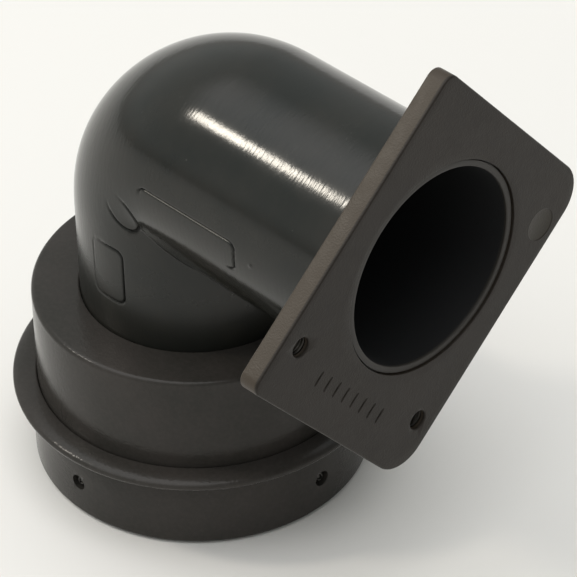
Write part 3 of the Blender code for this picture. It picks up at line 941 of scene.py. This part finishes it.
class DUCT_OT_seals(bpy.types.Operator):
    """Rubber rings under the leg and inside the spigot's foot"""
    bl_idname = "duct.seals"
    bl_label = "Seals"

    SOFT, LIP = 0.3, 34.6                            # edges; inside radius of the spigot's seal

    def execute(self, context):
        top, bottom, soft = height("neck_seal", 1) / MM, height("neck_seal", 0) / MM, self.SOFT
        inner, outer = (TUBE_RADIUS - context.scene.duct_tube.wall) / MM, TUBE_RADIUS / MM
        corners = ((inner + soft, top - soft, 180), (outer - soft, top - soft, 90),
                   (outer - soft, bottom + soft, 0), (inner + soft, bottom + soft, 270))
        ring = outline(*(arc(r, z, soft, start, start - 90, 4) for r, z, start in corners))
        self.seal(context, "leg_seal", ring, 160, "neck_seal")
        top, bottom = height("lip_seal", 1) / MM, height("lip_seal", 0) / MM
        r, lip = width("lip_seal", 0) / 2 / MM, self.LIP
        ring = outline((lip + 0.9, top), (r, top), (r, bottom), (lip + 0.9, bottom),
                       (lip + 0.55, bottom + 1.2), (lip + 0.25, bottom + 2.4),
                       arc(lip + soft, bottom + 2.95, soft, 200, 110, 4))
        self.seal(context, "spigot_seal", ring, 192, "lip_seal")
        return {"FINISHED"}

    def seal(self, context, name, profile, sides, node):
        points, quads = lathe(profile, sides)
        finished(new_object(name, placed(points), quads), rubber(context.scene), "seal_rubber",
                 node)


class DUCT_OT_stage(bpy.types.Operator):
    """Pale floor, soft lights and the camera"""
    bl_idname = "duct.stage"
    bl_label = "Stage"

    FLOOR_SPAN = 24.0
    KEY_FROM = (-0.565, -0.433, 0.706)
    KEY_FAR, KEY_SPREAD = 1.3, 3.3                   # metres away; degrees from middle to rim
    KEY_TINT = (1.0, 0.93, 0.81)
    TOP_FROM = (-0.12, -0.16, 1.0)
    TOP_CORE, TOP_EDGE = 8.0, 46.0                   # degrees from the patch's middle
    LIT_SIDE = (-0.60, -0.40, 0.69)
    HORIZON_TOP = 0.22                               # rise of the view at which the walls begin

    def room(self, stage):
        """A round room: shade to the far side, a paler wall on the lit side, a soft bright patch
        overhead, and an even tone near the floor. Each turns into the next without an edge."""
        n = Nodes("room", bpy.data.worlds.new("room"))

        def toward(direction, low, high):
            dot = n.add("ShaderNodeVectorMath", {0: n.ray, 1: Vector(direction).normalized()},
                        operation="DOT_PRODUCT").outputs["Value"]
            return n.ramp(dot, low, high, 0, 1, True)

        walls = n.blend(toward(self.LIT_SIDE, -0.5, 0.9), stage.shade, stage.room)
        patch = toward(self.TOP_FROM, cos(radians(self.TOP_EDGE)), cos(radians(self.TOP_CORE)))
        walls = n.blend(patch, walls, (stage.top_strength,) * 3)
        light = n.blend(toward((0, 0, 1), 0.0, self.HORIZON_TOP), stage.horizon, walls)
        n.wire(n.tree.nodes["Background"], {"Color": light})
        return n.material

    def key(self, place, aim, power):
        """A small round lamp at place, facing the aim."""
        data = bpy.data.lights.new("key_lamp", "AREA")
        data.shape, data.size = "DISK", 2 * self.KEY_FAR * tan(radians(self.KEY_SPREAD))
        data.energy, data.color = power, self.KEY_TINT
        lamp = bpy.data.objects.new(data.name, data)
        lamp.location = place
        lamp.rotation_euler = (place - aim).to_track_quat("Z", "Y").to_euler()
        bpy.context.scene.collection.objects.link(lamp)

    def execute(self, context):
        scene, stage = context.scene, context.scene.duct_stage
        half = self.FLOOR_SPAN / 2
        corners = np.array([(-half, -half, 0), (half, -half, 0), (half, half, 0), (-half, half, 0)])
        floor = new_object("floor", corners, np.array([[0, 1, 2, 3]]))
        n = Nodes("pale_floor")
        tone = n.blend(n.noise(6, 3), tinted(stage.floor, 0.985), tinted(stage.floor, 1.0))
        floor.data.materials.append(n.finish(Base_Color=tone, Roughness=0.85))

        scene.world = self.room(stage)
        aim = Vector(stage.aim)
        key = aim + Vector(self.KEY_FROM).normalized() * self.KEY_FAR
        self.key(key, aim, stage.key_power)

        data = bpy.data.cameras.new("camera")
        data.sensor_width, data.lens = 36.0, stage.lens
        data.clip_end = 50.0
        camera = bpy.data.objects.new("camera", data)
        az, el = stage.azimuth, stage.elevation
        back = Vector((sin(az) * cos(el), -cos(az) * cos(el), sin(el)))
        level = Vector((0, 0, 1)).cross(back).normalized()
        right = cos(stage.roll) * level + sin(stage.roll) * back.cross(level)
        up = back.cross(right)
        place = aim + back * stage.distance
        turned = Matrix((right, up, back)).transposed().to_4x4()
        camera.matrix_world = Matrix.Translation(place) @ turned
        scene.collection.objects.link(camera)
        scene.camera = camera
        scene.view_settings.view_transform = "Standard"
        return {"FINISHED"}


OPERATORS = (
    DUCT_OT_bent_tube, DUCT_OT_mounting_plate, DUCT_OT_plate_sleeves, DUCT_OT_step_cup,
    DUCT_OT_collar_ring, DUCT_OT_spigot_sleeve, DUCT_OT_pinning_screws, DUCT_OT_seals,
    DUCT_OT_stage,
)


class DUCT_PT_panel(bpy.types.Panel):
    """Sidebar panel that lists the pieces and the stage"""
    bl_idname = "DUCT_PT_panel"
    bl_label = "Duct elbow"
    bl_space_type = "VIEW_3D"
    bl_region_type = "UI"
    bl_category = "Duct elbow"

    def draw(self, context):
        for operator in OPERATORS:
            self.layout.operator(operator.bl_idname)
        for group in GROUPS:
            box = self.layout.box()
            settings = getattr(context.scene, group)
            for name in settings.__annotations__:
                box.prop(settings, name)


CLASSES = (*GROUPS.values(), *OPERATORS, DUCT_PT_panel)


def register():
    for item in CLASSES:
        bpy.utils.register_class(item)
    for name, group in GROUPS.items():
        setattr(bpy.types.Scene, name, bpy.props.PointerProperty(type=group))


def unregister():
    for name in GROUPS:
        delattr(bpy.types.Scene, name)
    for item in reversed(CLASSES):
        bpy.utils.unregister_class(item)


def main():
    register()
    for operator in OPERATORS:
        group, name = operator.bl_idname.split(".")
        getattr(getattr(bpy.ops, group), name)()


if __name__ == "__main__":
    main()
